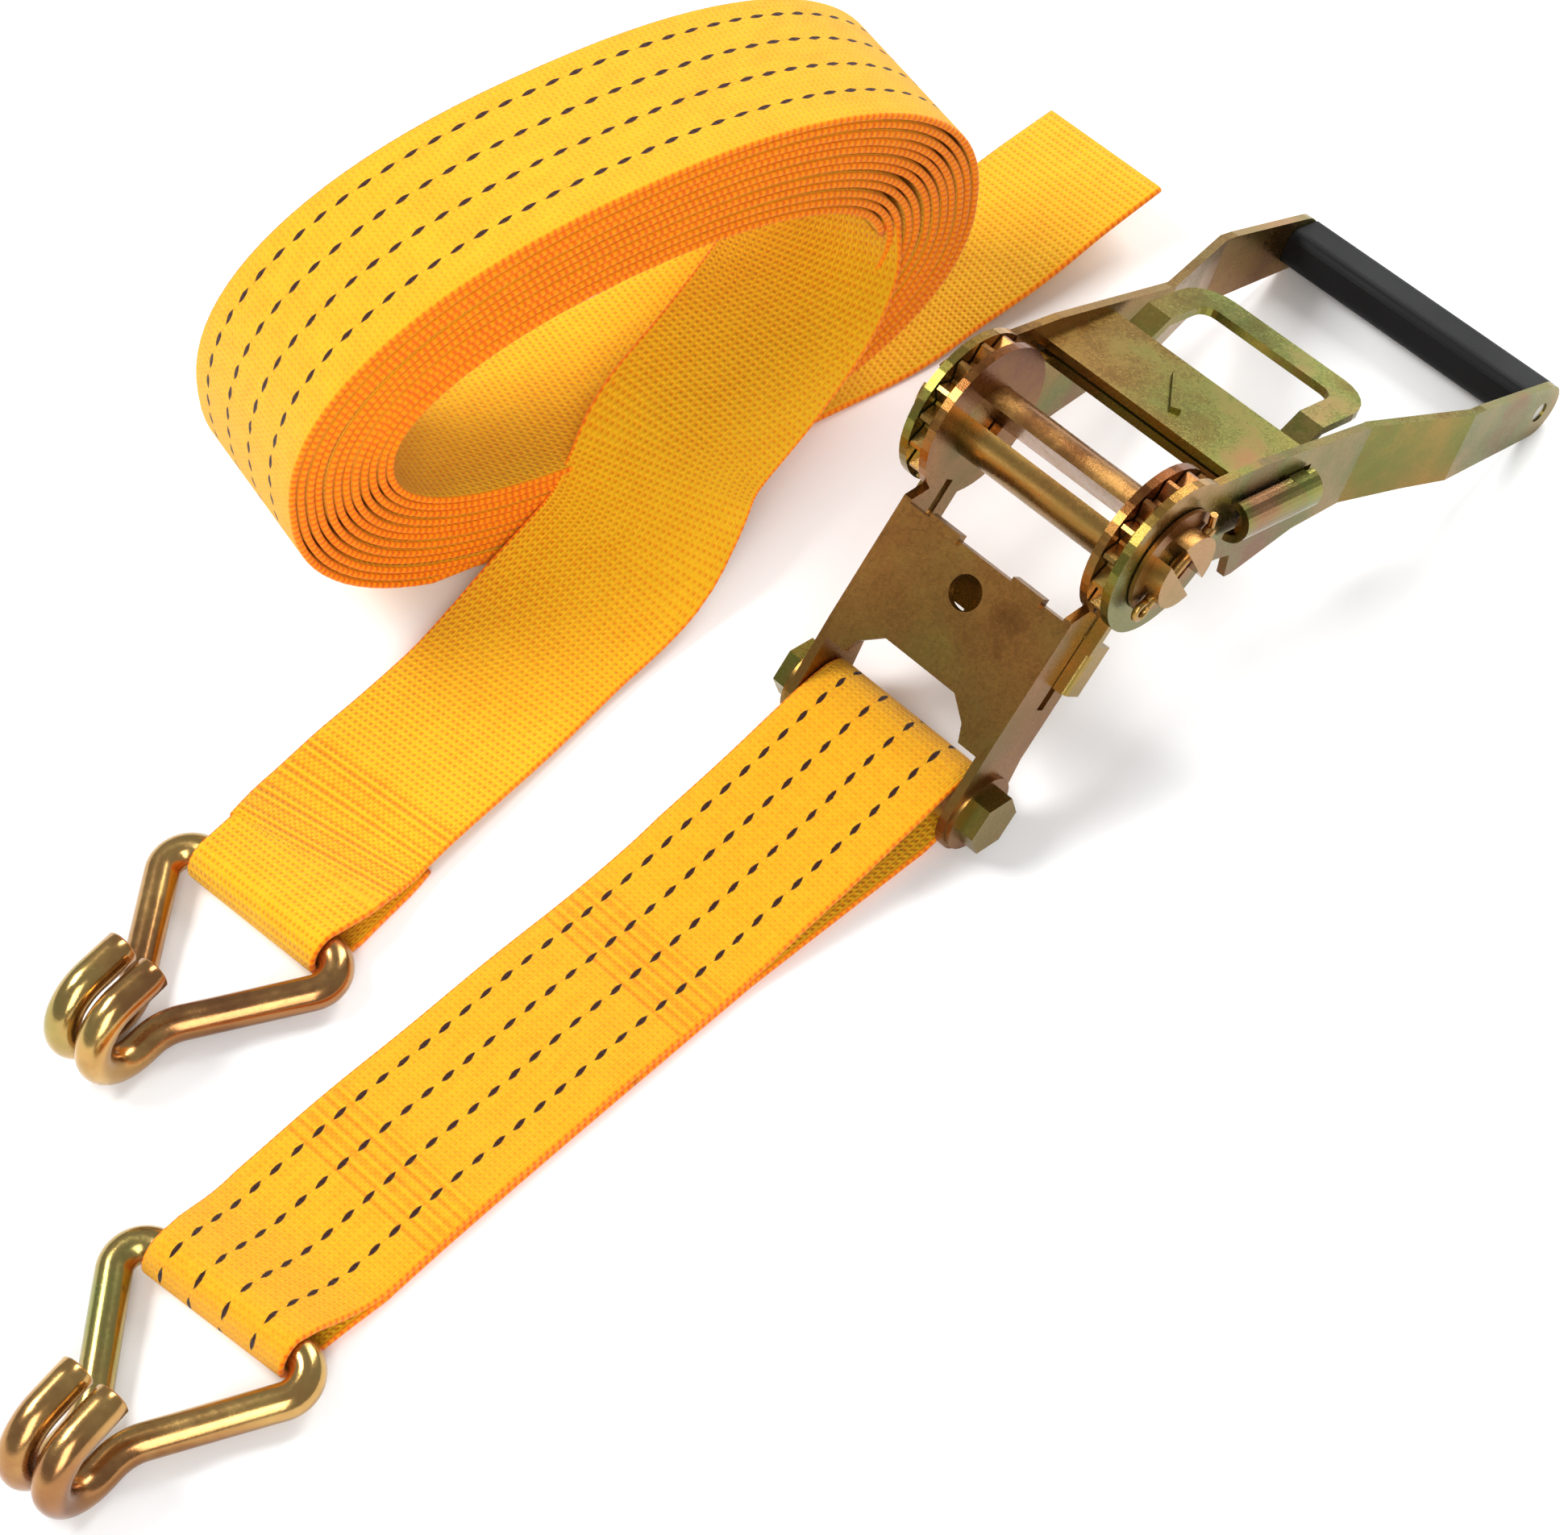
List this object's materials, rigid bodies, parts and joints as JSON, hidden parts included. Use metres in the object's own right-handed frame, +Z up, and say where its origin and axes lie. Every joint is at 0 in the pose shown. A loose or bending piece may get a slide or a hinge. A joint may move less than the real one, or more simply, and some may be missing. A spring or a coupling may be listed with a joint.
{
  "type": "ratchet tie down",
  "caption": "Hand ratchet with a sewn fixed strap and a wound adjustable strap, each ending in a double wire hook, for lashing loads to truck and trailer beds.",
  "frame": {"origin": "on the surface it lies on, under the middle of the whole set's bounding box", "axes": "+X along the short strap from its hook to the ratchet's grip, +Y along the mandrel toward the wound strap, +Z up"},
  "size_m": [0.507, 0.2222, 0.1216],
  "materials": {
    "zinc": "yellow-passivated zinc plating, iridescent, slightly brushed",
    "bare_steel": "drawn steel, dull",
    "spring_wire": "oiled spring steel",
    "grip": "moulded plastic with fine lengthwise ribs",
    "webbing": "woven polyester with black tracer lines"
  },
  "bodies": {
    "base": {"base_frame": "zinc", "strap_bolt": "zinc", "bolt_nut": "zinc", "bolt_washers": "zinc", "bolt_sleeve": "bare_steel", "lock_spring": "spring_wire"},
    "lock": {"lock_plate": "zinc"},
    "mandrel": {"mandrel_half_front": "zinc", "mandrel_half_rear": "zinc", "ratchet_wheel_near": "zinc", "ratchet_wheel_far": "zinc", "mandrel_washers": "zinc", "split_pins": "zinc"},
    "handle": {"handle_frame": "zinc", "handle_grip": "grip", "grip_rod": "bare_steel", "pawl_spring_near": "spring_wire", "pawl_spring_far": "spring_wire"},
    "pawl": {"pawl_slide": "zinc"},
    "short_strap": {"short_strap": "webbing"},
    "short_hook": {"hook_short": "zinc"},
    "long_strap": {"long_strap_coil": "webbing", "long_strap_lead": "webbing", "long_strap_tail": "webbing", "long_strap_eye": "webbing"},
    "long_hook": {"hook_long": "zinc"}
  },
  "joints": [
    {"name": "handle_fold", "type": "hinge", "parent": "base", "child": "handle", "pos_m": [0.09198, -0.06613, 0.07013], "axis": [0, -1, 0], "range_deg": [-90, 67.5]},
    {"name": "mandrel_spin", "type": "hinge", "parent": "base", "child": "mandrel", "pos_m": [0.09198, -0.06613, 0.07013], "axis": [0, 1, 0], "continuous": true},
    {"name": "lock_slide", "type": "slide", "parent": "base", "child": "lock", "axis": [0.7009, 0, 0.7133], "range_m": [-0.003, 0.0031], "stiffness_N_per_m": 300, "deforming": ["lock_spring"]},
    {"name": "pawl_pull", "type": "slide", "parent": "handle", "child": "pawl", "axis": [0.9272, 0, -0.3746], "range_m": [-0.0042, 0.003], "stiffness_N_per_m": 300, "deforming": ["pawl_spring_near", "pawl_spring_far"]},
    {"name": "strap_swing", "type": "hinge", "parent": "base", "child": "short_strap", "pos_m": [0.03486, -0.06613, 0.012], "axis": [0, 1, 0], "range_deg": [-45, 60], "deforming": ["short_strap"]},
    {"name": "short_hook_swing", "type": "hinge", "parent": "short_strap", "child": "short_hook", "pos_m": [-0.18614, -0.06613, 0.0074], "axis": [-0.1219, 0.9925, 0], "range_deg": [-40, 60]},
    {"name": "long_strap_lift", "type": "slide", "parent": "base", "child": "long_strap", "axis": [0, 1, 0], "range_m": [0, 0.3]},
    {"name": "long_hook_swing", "type": "hinge", "parent": "long_strap", "child": "long_hook", "pos_m": [-0.10864, 0.01137, 0.0074], "axis": [-0.0698, 0.9976, 0], "range_deg": [-40, 60]}
  ]
}
